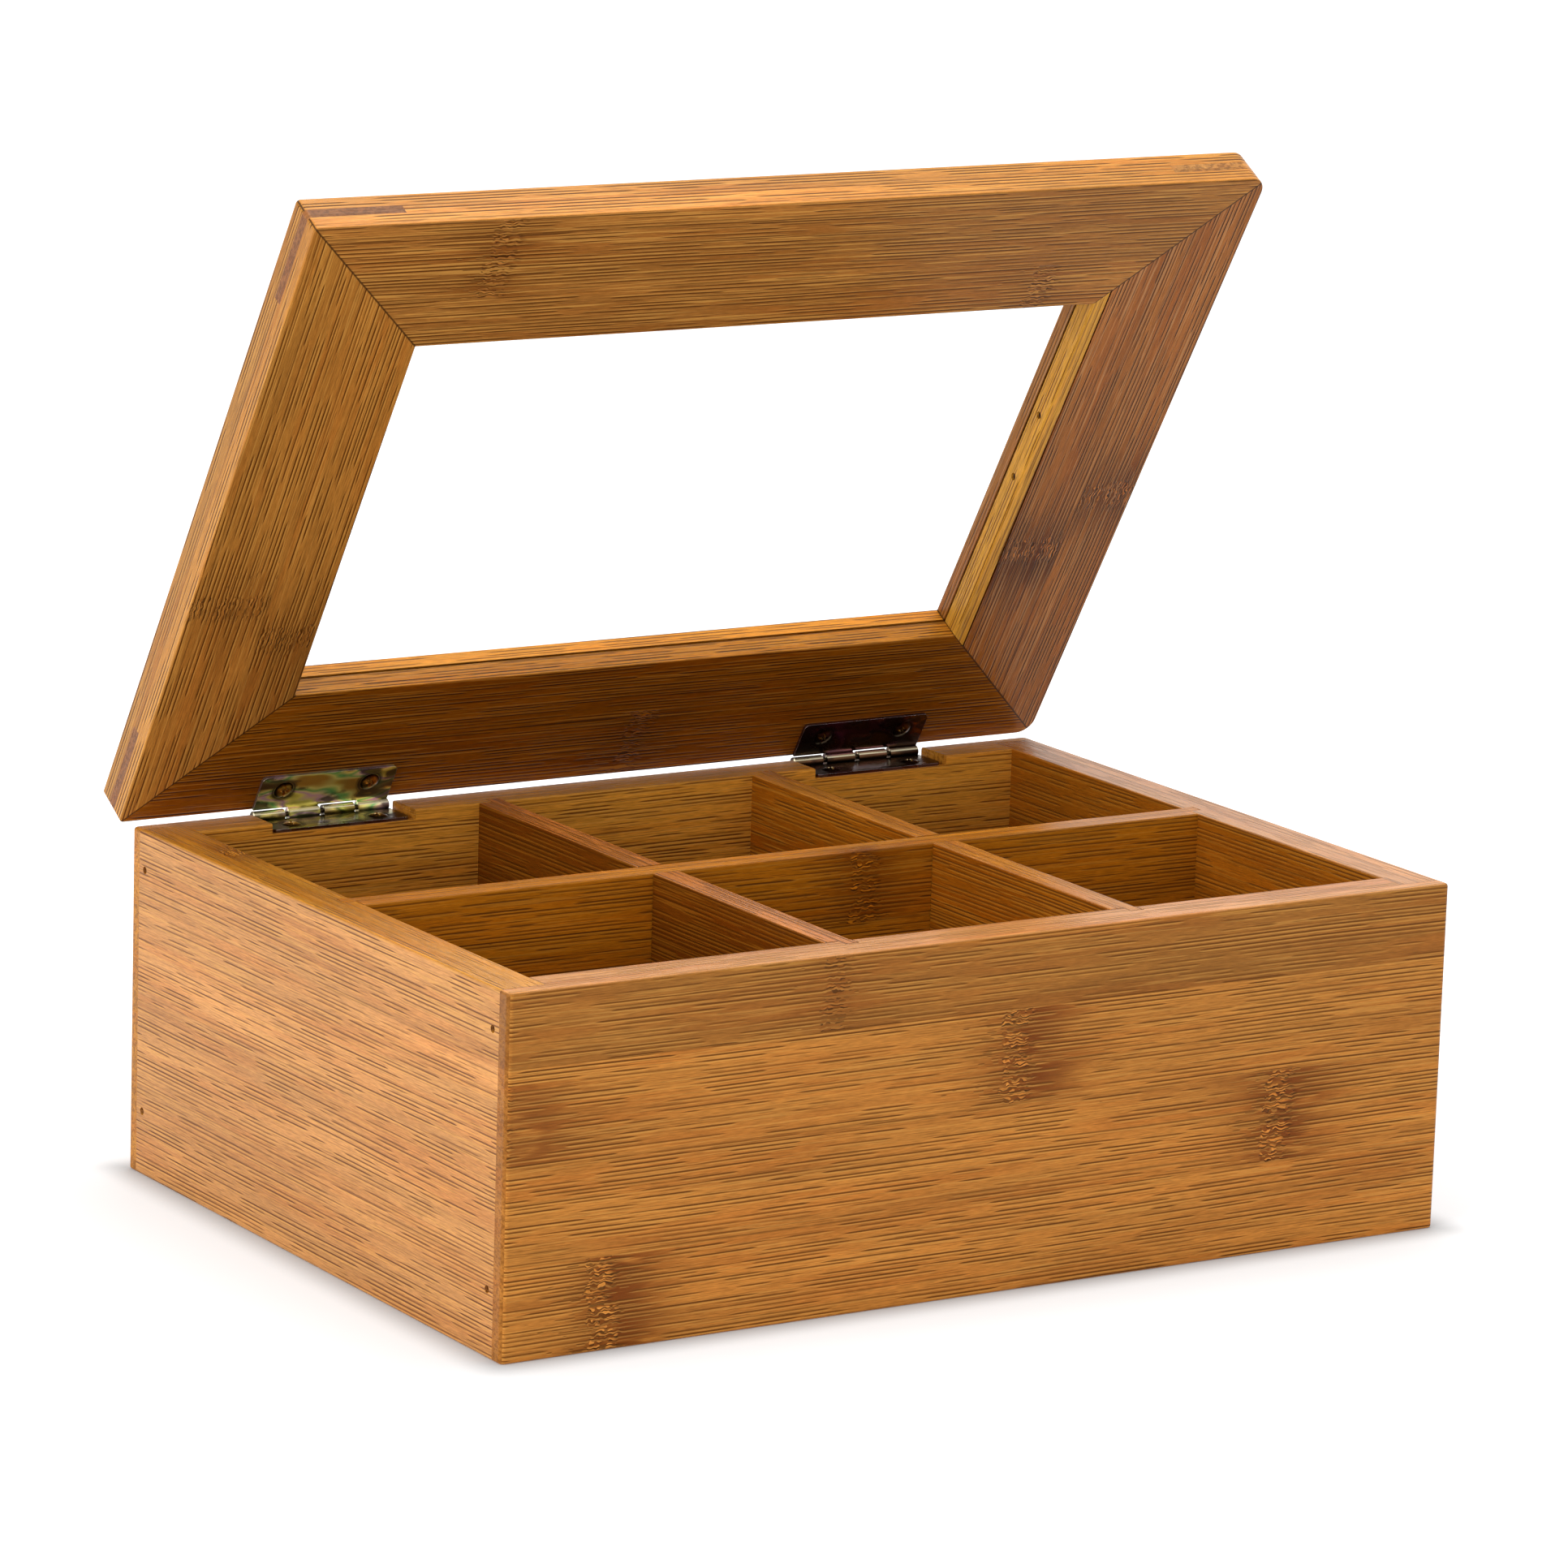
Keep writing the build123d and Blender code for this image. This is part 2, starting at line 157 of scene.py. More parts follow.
halo = sums(joint_mark, "MULTIPLY", sums(joint_mark, "MULTIPLY", halo, smoke), inside)
halo = sums(joint_mark, "MULTIPLY", halo, has["Brown"])
put(joint_mark, out["Scorch"], sums(joint_mark, "MAXIMUM", halo, sums(joint_mark, "MULTIPLY", wrinkle, 0.9)))

# The wood of a board at a point. Strip is the strips' width and Start where one begins. Far ply and Edge are
# the tone of the ply at w > 0 and of the long edges against the rest, where Edge also paints the sheen on
# those edges, and Above is what the top strip adds.
bamboo, has, out = new_group(
    "bamboo",
    [("Point", "v"), ("Facing", "v"), ("Strip", "f"), ("Start", "f"), ("Seed", "f"), ("Wood", "c"),
     ("Fibre", "c"), ("Pale", "c"), ("Streaks", "f"), ("Far ply", "f"), ("Edge", "c"), ("Above", "f"),
     ("Wrinkle", "f"), ("Scorch", "f"), ("Near", "f")],
    [("Color", "c"), ("Height", "f"), ("Rough", "f")],
)


def fibre_lines(run, height, pitch, length, thick, share, seed):
    """Lines along the board, one to a row of the given pitch. Each row has a height by chance, and noise
    along it lets its line swell to the thickness and taper off. Gives the line and the thin lip under it."""
    rows = sums(bamboo, "DIVIDE", height, pitch)
    row = sums(bamboo, "FLOOR", rows)
    chances = by_chance(bamboo, sums(bamboo, "ADD", row, seed))
    middle = sums(bamboo, "ADD", row, sums(bamboo, "MULTIPLY_ADD", chances[0], 0.36, 0.44))
    aside = sums(bamboo, "MULTIPLY", sums(bamboo, "SUBTRACT", rows, middle), pitch)
    begin = sums(bamboo, "MULTIPLY", chances[1], 700.0)
    along = sums(bamboo, "ADD", sums(bamboo, "DIVIDE", run, length), begin)
    sample = from_parts(bamboo, along, sums(bamboo, "MULTIPLY", row, 7.3), seed)
    waves = fleck(bamboo, sample, (1.0, 1.0, 1.0), 0.5)
    swell = sums(bamboo, "MULTIPLY", ramp(bamboo, sums(bamboo, "SUBTRACT", waves, share), 0.0, 0.12), thick)
    line = ramp(bamboo, sums(bamboo, "SUBTRACT", swell, sums(bamboo, "ABSOLUTE", aside)), 0.0, 0.1)
    below = sums(bamboo, "ABSOLUTE", sums(bamboo, "ADD", aside, thick * 1.6))
    lip = ramp(bamboo, sums(bamboo, "SUBTRACT", swell, below), 0.0, 0.12)
    weight = sums(bamboo, "MULTIPLY_ADD", chances[2], 0.4, 0.6)
    return sums(bamboo, "MULTIPLY", line, weight), sums(bamboo, "MULTIPLY", lip, weight)


u, v, w = in_parts(bamboo, has["Point"])
strips = sums(bamboo, "DIVIDE", sums(bamboo, "SUBTRACT", v, has["Start"]), has["Strip"])
lane = sums(bamboo, "FLOOR", strips)
upper = sums(bamboo, "GREATER_THAN", w, 0.0)
strip_number = sums(bamboo, "MULTIPLY_ADD", upper, 31.0, lane)
chance = by_chance(bamboo, sums(bamboo, "ADD", strip_number, has["Seed"]))
shuffle = vectors(bamboo, "MULTIPLY", from_parts(bamboo, *chance), (400.0, 90.0, 90.0))
own = vectors(bamboo, "ADD", shuffle, has["Point"])
# the grain slants a little in each strip, wanders by up to 0.8 mm, and creases where a joint wrinkles it
slant = sums(bamboo, "MULTIPLY", sums(bamboo, "MULTIPLY_ADD", chance[0], 0.012, -0.006), u)
wander = sums(bamboo, "MULTIPLY_ADD", fleck(bamboo, own, (110.0, 16.0, 16.0)), 1.6, -0.8)
crease = sums(bamboo, "MULTIPLY_ADD", fleck(bamboo, own, (2.4, 1.8, 1.8), 1.0, 5.0), 2.4, -1.2)
crease = sums(bamboo, "MULTIPLY", crease, has["Wrinkle"])
aside = sums(bamboo, "ADD", sums(bamboo, "ADD", slant, wander), crease)
lie = vectors(bamboo, "ADD", own, from_parts(bamboo, 0.0, aside))
facing = in_parts(bamboo, has["Facing"])
on_edge = ramp(bamboo, sums(bamboo, "ABSOLUTE", facing[1]), 0.5, 0.9)
run, height, depth = in_parts(bamboo, lie)
height = sums(bamboo, "MULTIPLY_ADD", on_edge, sums(bamboo, "SUBTRACT", depth, height), height)
# dark fibre lines with a painted highlight on the lip under each, fainter ones between them, and short ones
# close to a culm's joint
crowd = sums(bamboo, "MULTIPLY_ADD", fleck(bamboo, own, (50.0, 6.0, 6.0), 1.0, 9.0), -0.3, 0.61)
crowd = sums(bamboo, "SUBTRACT", crowd, sums(bamboo, "MULTIPLY", has["Streaks"], 0.04))
by_joint = sums(bamboo, "MULTIPLY_ADD", has["Near"], -0.34, 0.78)
dash, lip = fibre_lines(run, height, pitch=1.15, length=20.0, thick=0.26, share=crowd, seed=200.0)
faint = fibre_lines(run, height, pitch=0.7, length=11.0, thick=0.14, share=0.44, seed=500.0)[0]
short, short_lip_highlight = fibre_lines(run, height, pitch=0.9, length=4.0, thick=0.2, share=by_joint, seed=800.0)
dash = sums(bamboo, "MAXIMUM", dash, sums(bamboo, "MULTIPLY", faint, 0.5))
dash = sums(bamboo, "MAXIMUM", dash, sums(bamboo, "MULTIPLY", short, 0.9))
# the lip under each fibre line is a painted highlight, laid on in the pale colour
lip = sums(bamboo, "MULTIPLY", sums(bamboo, "MAXIMUM", lip, short_lip_highlight), 0.35)
pale_share = sums(bamboo, "MULTIPLY", has["Streaks"], 0.22)
pale_line_and_highlight = ramp(bamboo, fleck(bamboo, lie, (40.0, 0.6, 0.6), 0.5, 21.0), 0.6, 0.68, 0.0, pale_share)
pale_line_and_highlight = sums(bamboo, "MAXIMUM", pale_line_and_highlight, lip)
# the wood's tone: fine grain, clouds and broad patches, then each strip's own, the top strip's and the ply's
fine = fleck(bamboo, lie, (3.0, 0.22, 0.22), 1.0, 33.0)
cloudy = fleck(bamboo, own, (70.0, 3.5, 3.5), 2.0, 41.0)
broad = fleck(bamboo, own, (110.0, 16.0, 16.0), 1.0, 55.0)
tone = sums(bamboo, "MULTIPLY_ADD", fine, 0.8, 0.6)
tone = sums(bamboo, "MULTIPLY", tone, sums(bamboo, "MULTIPLY_ADD", cloudy, 0.6, 0.7))
tone = sums(bamboo, "MULTIPLY", tone, sums(bamboo, "MULTIPLY_ADD", broad, 0.5, 0.75))
tone = sums(bamboo, "MULTIPLY", tone, sums(bamboo, "MULTIPLY_ADD", chance[1], 0.14, 0.93))
two_strips_up = sums(bamboo, "MULTIPLY_ADD", has["Strip"], 2.0, has["Start"])
top_strip = sums(bamboo, "GREATER_THAN", v, two_strips_up)
tone = sums(bamboo, "MULTIPLY", tone, sums(bamboo, "MULTIPLY_ADD", top_strip, has["Above"], 1.0))
lower = sums(bamboo, "SUBTRACT", 1.0, upper)
ply_tone = sums(bamboo, "ADD", sums(bamboo, "MULTIPLY", upper, has["Far ply"]), lower)
tone = sums(bamboo, "MULTIPLY", tone, ply_tone)
ground = scaled(bamboo, has["Wood"], tone)
# the long edges' own tone, which also paints the sheen they catch
ground = tint(bamboo, on_edge, ground, vectors(bamboo, "MULTIPLY", ground, has["Edge"]))
russet = ramp(bamboo, fleck(bamboo, own, (80.0, 6.0, 6.0), 2.0, 71.0), 0.4, 0.68, 0.0, 0.9)
ground = tint(bamboo, russet, ground, vectors(bamboo, "MULTIPLY", ground, (0.92, 0.8, 0.72)))
burnt = vectors(bamboo, "MULTIPLY", has["Fibre"], (1.2, 0.75, 0.5))
colour = tint(bamboo, sums(bamboo, "MULTIPLY", has["Scorch"], 0.9), ground, burnt)
colour = tint(bamboo, pale_line_and_highlight, colour, has["Pale"])
colour = tint(bamboo, dash, colour, has["Fibre"])
# glue lines between the plies and, fainter, between the strips
ply_glue = ramp(bamboo, sums(bamboo, "ABSOLUTE", w), 0.1, 0.28, 0.5, 0.0)
strip_part = sums(bamboo, "PINGPONG", sums(bamboo, "SUBTRACT", v, has["Start"]), has["Strip"])
# ping-pong doubles the period, so both of its turning points are a strip's edge
strip_edge = sums(bamboo, "MINIMUM", strip_part, sums(bamboo, "SUBTRACT", has["Strip"], strip_part))
strip_glue = ramp(bamboo, strip_edge, 0.05, 0.3, 0.28, 0.0)
colour = tint(bamboo, sums(bamboo, "MAXIMUM", ply_glue, strip_glue), colour, has["Fibre"])
# in the joint's band, crooked raised lines, each with a painted highlight and painted shade in the hollow
# under it
ridge_and_highlight, pit_and_shade = fibre_lines(run, height, pitch=0.9, length=2.2, thick=0.26, share=0.42, seed=1100.0)
ridge_and_highlight = sums(bamboo, "MULTIPLY", ridge_and_highlight, ramp(bamboo, has["Wrinkle"], 0.25, 0.85))
pit_and_shade = sums(bamboo, "MULTIPLY", pit_and_shade, ramp(bamboo, has["Wrinkle"], 0.1, 0.45))
colour = tint(bamboo, sums(bamboo, "MULTIPLY", pit_and_shade, 0.9), colour, scaled(bamboo, has["Fibre"], 0.35))
colour = tint(bamboo, sums(bamboo, "MULTIPLY", ridge_and_highlight, 0.9), colour, scaled(bamboo, ground, 1.6))
# end grain: the fibre bundles show as dots in paler pith
endwise = ramp(bamboo, sums(bamboo, "ABSOLUTE", facing[0]), 0.58, 0.7)
dots = ramp(bamboo, fleck(bamboo, own, (30.0, 0.9, 0.9), 2.0, 77.0), 0.44, 0.62)
sawn = tint(bamboo, 0.35, ground, has["Fibre"])
sawn = tint(bamboo, sums(bamboo, "MULTIPLY", dots, 0.5), sawn, has["Fibre"])
colour = tint(bamboo, endwise, colour, sawn)
put(bamboo, out["Color"], colour)
relief = sums(bamboo, "MULTIPLY_ADD", dash, -0.4, sums(bamboo, "MULTIPLY", fine, 0.3))
relief = sums(bamboo, "MULTIPLY_ADD", pit_and_shade, -1.5, relief)
put(bamboo, out["Height"], sums(bamboo, "MULTIPLY_ADD", ridge_and_highlight, 0.8, relief))
put(bamboo, out["Rough"], sums(bamboo, "MULTIPLY_ADD", dash, 0.15, 0.24))


def as_fed(tree, group, **given):
    """One use of a node group, with its inputs given by name."""
    node = tree.nodes.new("ShaderNodeGroup")
    node.node_tree = group
    for label, value in given.items():
        put(tree, node.inputs[label.replace("_", " ")], value)
    return node.outputs


def laid(material, along, across, centre):
    """The point on the board in millimetres along, across and through it from its centre, and its face's
    direction in the same three: the board's own axes as the rows of a turn, after the centre is taken off."""
    tree = material.node_tree
    along, across = Vector(along), Vector(across)
    turn = Matrix((along, across, along.cross(across)))
    place = tree.nodes.new("ShaderNodeTexCoord")
    point = tree.nodes.new("ShaderNodeMapping")
    point.inputs["Rotation"].default_value = turn.to_euler()
    point.inputs["Location"].default_value = -(turn @ Vector(centre))
    point.inputs["Scale"].default_value = (1000.0, 1000.0, 1000.0)
    put(tree, point.inputs[0], place.outputs["Object"])
    face = tree.nodes.new("ShaderNodeMapping")
    face.vector_type = "VECTOR"
    face.inputs["Rotation"].default_value = turn.to_euler()
    put(tree, face.inputs[0], place.outputs["Normal"])
    return point.outputs[0], face.outputs[0]


def new_finish(name):
    """An empty node material and its main shader."""
    material = bpy.data.materials.new(name)
    material.use_nodes = True
    return material, material.node_tree, material.node_tree.nodes["Principled BSDF"]


def bamboo_board(name, along, across, centre, wood, fibre, pale, seed, strip=25.0, start=-0.5, streaks=1.0,
                 far_ply=1.0, edge=(1.0, 1.0, 1.0), above=0.0, joints=(), sheen=0.12, mitre=()):
    """A board's finish. Joints are (along, low, high, face, brown, lean) in the board's own millimetres,
    where face is 1 for the side that along x across points to and -1 for the other. Mitre gives (how far
    along it is, slope) of a dark glue line cut slantwise over the board."""
    material, tree, shader = new_finish(name)
    point, face = laid(material, along, across, centre)
    wrinkle = scorch = near = 0.0
    for at, low, high, side, brown, lean in joints:
        mark = as_fed(tree, joint_mark, Point=point, Along=at, Low=low, High=high, Face=side, Brown=brown,
                      Lean=lean)
        wrinkle = sums(tree, "MAXIMUM", wrinkle, mark["Wrinkle"])
        scorch = sums(tree, "MAXIMUM", scorch, mark["Scorch"])
        near = sums(tree, "MAXIMUM", near, mark["Near"])
    grown = as_fed(tree, bamboo, Point=point, Facing=face, Strip=strip, Start=start, Seed=float(seed),
                   Wood=(*wood, 1.0), Fibre=(*fibre, 1.0), Pale=(*pale, 1.0), Edge=(*edge, 1.0),
                   Streaks=streaks, Far_ply=far_ply, Above=above, Wrinkle=wrinkle, Scorch=scorch, Near=near)
    colour = grown["Color"]
    if mitre:
        u, v, w = in_parts(tree, point)
        reach = sums(tree, "SUBTRACT", mitre[0], sums(tree, "ABSOLUTE", u))
        from_cut = sums(tree, "MULTIPLY_ADD", v, mitre[1], reach)
        colour = tint(tree, ramp(tree, from_cut, 0.15, 0.5, 0.8, 0.0), colour, (0.03, 0.012, 0.004, 1.0))
    put(tree, shader.inputs["Base Color"], colour)
    put(tree, shader.inputs["Roughness"], grown["Rough"])
    shader.inputs["Specular IOR Level"].default_value = sheen
    shader.inputs["Specular Tint"].default_value = (1.0, 0.82, 0.6, 1.0)
    relief = tree.nodes.new("ShaderNodeBump")
    relief.inputs["Strength"].default_value = 0.5
    relief.inputs["Distance"].default_value = 0.00018
    put(tree, relief.inputs["Height"], grown["Height"])
    put(tree, shader.inputs["Normal"], relief.outputs[0])
    return material


def dressed(material, *names):
    """Puts the finish in the slot of each named board."""
    for name in names:
        board_of[name].data.materials.clear()
        board_of[name].data.materials.append(material)


X, Y, Z = (1, 0, 0), (0, 1, 0), (0, 0, 1)
fibre = (0.13, 0.04, 0.004)
pale = (0.8, 0.41, 0.09)
amber = (0.62, 0.27, 0.03)
mid_height, front_y, side_x = 47.0, -94.5, 136.0
strip_from = -22.5
dressed(bamboo_board(
    "front_wall_bamboo", X, Z, (0, front_y, mid_height), (0.5, 0.195, 0.034), fibre, pale, seed=3,
    start=strip_from, edge=(1.7, 1.9, 3.5), above=-0.3,
    joints=[(-52.0, 27.5, 47.0, 1.0, 0.35, 4.0), (2.5, 2.5, 27.5, 1.0, 1.0, 9.0),
            (85.5, -22.5, 2.5, 1.0, 1.0, 6.0), (-118.0, -47.0, -22.5, 1.0, 1.0, 9.0),
            (-150.0, 2.5, 24.0, 1.0, 0.7, 15.0), (60.0, 2.5, 27.5, -1.0, 0.6, 5.0)]), "front_wall")
dressed(bamboo_board(
    "back_wall_bamboo", X, Z, (0, -front_y, mid_height), (0.66, 0.27, 0.03), fibre, pale, seed=11,
    start=strip_from,
    joints=[(-60.0, -22.5, 2.5, -1.0, 0.8, 6.0), (82.0, 2.5, 27.5, -1.0, 0.6, -6.0),
            (30.0, -22.5, 2.5, 1.0, 0.5, 5.0)]), "back_wall")
dressed(bamboo_board(
    "left_wall_bamboo", Y, Z, (-side_x, 0, mid_height), (0.53, 0.24, 0.072), (0.14, 0.045, 0.011), pale,
    seed=24, start=strip_from, edge=(1.2, 1.1, 0.4), joints=[(59.0, 25.0, 48.0, 1.0, 0.7, 4.0)]), "left_wall")
dressed(bamboo_board(
    "right_wall_bamboo", Y, Z, (side_x, 0, mid_height), (0.34, 0.1, 0.005), fibre, amber, seed=35,
    start=strip_from, edge=(1.8, 2.4, 9.0), sheen=0.4,
    joints=[(-20.0, -22.5, 2.5, 1.0, 0.8, 6.0), (40.0, 2.5, 27.5, 1.0, 0.5, -5.0)]), "right_wall")

# ---------------------------------------------------------------- bottom panel
# The floor of the box: a thin bamboo panel, 5 mm, of narrower strips. It is let up into a rabbet in the
# walls from below, glued and nailed.
dressed(bamboo_board(
    "bottom_panel_bamboo", X, Y, (0, 0, 2.5), (0.42, 0.17, 0.04), fibre, pale, seed=46, strip=22.0,
    joints=[(-70.0, -44.5, -22.5, 1.0, 0.6, 5.0), (30.0, 21.5, 43.5, 1.0, 0.6, 5.0)]), "bottom_panel")

# ---------------------------------------------------------------- dividers
# One long divider and two cross ones that part the six bays: 8 mm bamboo boards, halved over each other,
# their ends let into grooves in the walls. The left cross divider is much the darkest.
dressed(bamboo_board(
    "long_divider_bamboo", X, Z, (0, 0, mid_height), (0.48, 0.16, 0.007), fibre, amber, seed=57,
    start=strip_from, streaks=1.6, edge=(1.4, 1.5, 3.0), joints=[(18.0, 27.0, 48.0, 1.0, 0.8, 5.0)]),
    "long_divider")
dressed(bamboo_board(
    "left_cross_divider_bamboo", Y, Z, (-40, 0, mid_height), (0.14, 0.036, 0.002), (0.07, 0.018, 0.001),
    (0.4, 0.15, 0.012), seed=68, start=strip_from, streaks=1.6, edge=(3.8, 5.0, 18.0)), "left_cross_divider")
dressed(bamboo_board(
    "right_cross_divider_bamboo", Y, Z, (47, 0, mid_height), (0.31, 0.088, 0.004), fibre, amber, seed=79,
    start=strip_from, streaks=1.6, edge=(1.9, 2.5, 8.0)), "right_cross_divider")

# ---------------------------------------------------------------- brads
# Thin steel brads in the corners, the bottom panel and the glazing bead. They are dark, with a little rust,
# and driven a little below the surface.


def in_mm(tree):
    """The point on the piece in millimetres."""
    size = tree.nodes.new("ShaderNodeMapping")
    size.inputs["Scale"].default_value = (1000.0, 1000.0, 1000.0)
    put(tree, size.inputs[0], tree.nodes.new("ShaderNodeTexCoord").outputs["Object"])
    return size.outputs[0]


brad_steel, tree, shader = new_finish("brad_steel")
rust = fleck(tree, in_mm(tree), (0.4, 0.4, 0.4), 2.0)
dark_steel, brown_rust = (0.05, 0.035, 0.028, 1.0), (0.1, 0.05, 0.03, 1.0)
put(tree, shader.inputs["Base Color"], tint(tree, ramp(tree, rust, 0.4, 0.6), dark_steel, brown_rust))
shader.inputs["Metallic"].default_value = 0.8
put(tree, shader.inputs["Roughness"], ramp(tree, rust, 0.3, 0.7, 0.45, 0.7))
dressed(brad_steel, "corner_brads", "bottom_brads", "bead_brads")

# ---------------------------------------------------------------- hinges
# Two steel butt hinges rolled from 0.85 mm sheet, screwed in the back wall's notches and on the lid. They are
# yellow passivated: the film shimmers gold, green and pink, with painted shade round the screws. The
# lid stands 59 degrees above shut, and its leaves with it.
lid_open = radians(59.0)
pin = Vector((0.0, 102.0, 92.8))
swing = Matrix.Rotation(-lid_open, 3, "X")
lid_y, lid_z = swing @ Vector(Y), swing @ Vector(Z)


def on_lid(x, y, z):
    """A point of the shut lid, where it is with the lid standing open as in the rest pose."""
    return swing @ (Vector((x, y, z)) - pin) + pin


hinge_x, screw_x, head_y, head_z = 85.5, 13.1, 93.6, 92.05
box_heads = [Vector((side * hinge_x + end * screw_x, head_y, head_z)) for side in (-1, 1) for end in (-1, 1)]
lid_heads = [on_lid(head.x, head.y, 2 * pin.z - head.z) for head in box_heads]


def from_heads(tree, point, heads):
    """The distance to the nearest of the screw heads, in millimetres."""
    nearest = 99.0
    for head in heads:
        gap = vectors(tree, "DISTANCE", point, head).node.outputs["Value"]
        nearest = sums(tree, "MINIMUM", nearest, gap)
    return nearest


def zinc_film(name, colours, up, heads, metallic):
    """The passivated film: bands of colour that wander over the sheet like oil on water, darker in patches
    toward the plate's ends, with painted shade round the screws. The barrel has a painted highlight along its
    crest and painted shade below it, the plate's cut sides have painted shade, and the rim of the side that
    faces up has a painted highlight."""
    material, tree, shader = new_finish(name)
    point = in_mm(tree)
    swirl = fleck(tree, point, (18.0, 8.0, 8.0), 1.5, 3.0)
    bands = tree.nodes.new("ShaderNodeValToRGB")
    put(tree, bands.inputs[0], ramp(tree, swirl, 0.36, 0.64))
    marks = bands.color_ramp.elements
    while len(marks) < len(colours):
        marks.new(0.5)
    for i, colour in enumerate(colours):
        marks[i].position = i / (len(colours) - 1)
        marks[i].color = (*colour, 1.0)
    from_box_middle = sums(tree, "ABSOLUTE", in_parts(tree, point)[0])
    from_middle = sums(tree, "ABSOLUTE", sums(tree, "SUBTRACT", from_box_middle, hinge_x))
    to_ends = ramp(tree, from_middle, 7.0, 22.0, -0.06, 0.1)
    blot = sums(tree, "ADD", fleck(tree, point, (9.0, 4.0, 4.0), 2.0, 16.0), to_ends)
    patch = ramp(tree, blot, 0.48, 0.58, 0.0, 0.85)
    # painted shade in a band round each screw, where the countersink would shadow the plate
    reach = from_heads(tree, point, heads)
    screw_shade = sums(tree, "MULTIPLY", ramp(tree, reach, 3.2, 4.6, 0.9, 0.0), ramp(tree, reach, 2.7, 3.0))
    dark_patches_and_shade = sums(tree, "MAXIMUM", patch, screw_shade)
    colour = tint(tree, dark_patches_and_shade, bands.outputs[0], (0.035, 0.018, 0.012, 1.0))
    over_pin = vectors(tree, "MULTIPLY", vectors(tree, "SUBTRACT", point, pin), (0.0, 1.0, 1.0))
    on_plate = ramp(tree, vectors(tree, "LENGTH", over_pin).node.outputs["Value"], 2.5, 3.0)
    on_barrel = sums(tree, "SUBTRACT", 1.0, on_plate)
    outward, crest_side = vectors(tree, "NORMALIZE", over_pin), (0.0, -0.64, 0.77)
    crest = vectors(tree, "DOT_PRODUCT", outward, crest_side).node.outputs["Value"]
    # painted shade below the barrel's crest and a painted highlight along it
    shade = sums(tree, "MULTIPLY", ramp(tree, crest, 0.75, 0.3, 0.0, 0.75), on_barrel)
    colour = tint(tree, shade, colour, (0.02, 0.014, 0.008, 1.0))
    crest_highlight = sums(tree, "MULTIPLY", ramp(tree, crest, 0.9, 0.985, 0.0, 0.75), on_barrel)
    colour = tint(tree, crest_highlight, colour, (0.98, 0.9, 0.62, 1.0))
    # painted shade on the plate's cut sides and a painted highlight on the rim of the face that looks up
    face = tree.nodes.new("ShaderNodeTexCoord").outputs["Normal"]
    level = sums(tree, "ABSOLUTE", vectors(tree, "DOT_PRODUCT", face, up).node.outputs["Value"])
    side_shade = sums(tree, "MULTIPLY", ramp(tree, level, 0.4, 0.1), on_plate)
    colour = tint(tree, sums(tree, "MULTIPLY", side_shade, 0.8), colour, (0.16, 0.09, 0.07, 1.0))
    rim = sums(tree, "MULTIPLY", ramp(tree, level, 0.97, 0.85), ramp(tree, level, 0.2, 0.5))
    rim = sums(tree, "MULTIPLY", rim, on_plate)
    colour = tint(tree, sums(tree, "MULTIPLY", rim, 0.9), colour, (0.98, 0.82, 0.9, 1.0))
    put(tree, shader.inputs["Base Color"], colour)
    shader.inputs["Metallic"].default_value = metallic
    put(tree, shader.inputs["Roughness"], ramp(tree, dark_patches_and_shade, 0.0, 1.0, 0.2, 0.35))
    return material


def screw_film(name, crown, heads):
    """A screw head's film: painted shade at the rim, browner on the crown and a painted highlight in the
    middle of the cross.
    """
    material, tree, shader = new_finish(name)
    reach = from_heads(tree, in_mm(tree), heads)
    # a painted highlight in the middle of the cross and painted shade at the head's rim
    colour = tint(tree, ramp(tree, reach, 0.5, 1.1), (0.95, 0.75, 0.4, 1.0), crown)
    colour = tint(tree, ramp(tree, reach, 1.7, 2.6), colour, (0.03, 0.018, 0.01, 1.0))
    put(tree, shader.inputs["Base Color"], colour)
    shader.inputs["Metallic"].default_value = 1.0
    shader.inputs["Roughness"].default_value = 0.25
    return material


gold_bands = [(0.5, 0.26, 0.04), (0.98, 0.85, 0.25), (0.22, 0.55, 0.16), (1.0, 0.82, 0.42), (0.7, 0.4, 0.6),
              (0.95, 0.85, 0.2), (0.3, 0.25, 0.03)]
olive_bands = [(0.24, 0.16, 0.04), (0.45, 0.42, 0.08), (0.1, 0.12, 0.03), (0.55, 0.42, 0.12),
               (0.16, 0.1, 0.08)]
bronze_bands = [(0.09, 0.045, 0.02), (0.16, 0.07, 0.04), (0.12, 0.05, 0.09), (0.3, 0.12, 0.16),
                (0.1, 0.05, 0.03), (0.22, 0.13, 0.05)]
gold_crown, bronze_crown = (0.5, 0.3, 0.1, 1.0), (0.12, 0.06, 0.03, 1.0)
for leaf, bands, up, heads, crown, metallic in (
        ("left_lid_leaf", gold_bands, lid_z, lid_heads, gold_crown, 0.55),
        ("left_box_leaf", olive_bands, Z, box_heads, gold_crown, 1.0),
        ("right_lid_leaf", bronze_bands, lid_z, lid_heads, bronze_crown, 1.0),
        ("right_box_leaf", bronze_bands, Z, box_heads, bronze_crown, 1.0)):
    joined = board_of[leaf].modifiers.new("joined", "WELD")
    joined.merge_threshold = 0.00001
    eased = board_of[leaf].modifiers.new("eased", "BEVEL")
    eased.width = 0.0002
    eased.segments = 2
    eased.angle_limit = radians(50.0)
    board_of[leaf].modifiers.new("even", "WEIGHTED_NORMAL")
    dressed(zinc_film(leaf + "_zinc", bands, up, heads, metallic), leaf)
    dressed(screw_film(leaf + "_screw_zinc", crown, heads), leaf + "_screws")
pin_steel, tree, shader = new_finish("pin_steel")
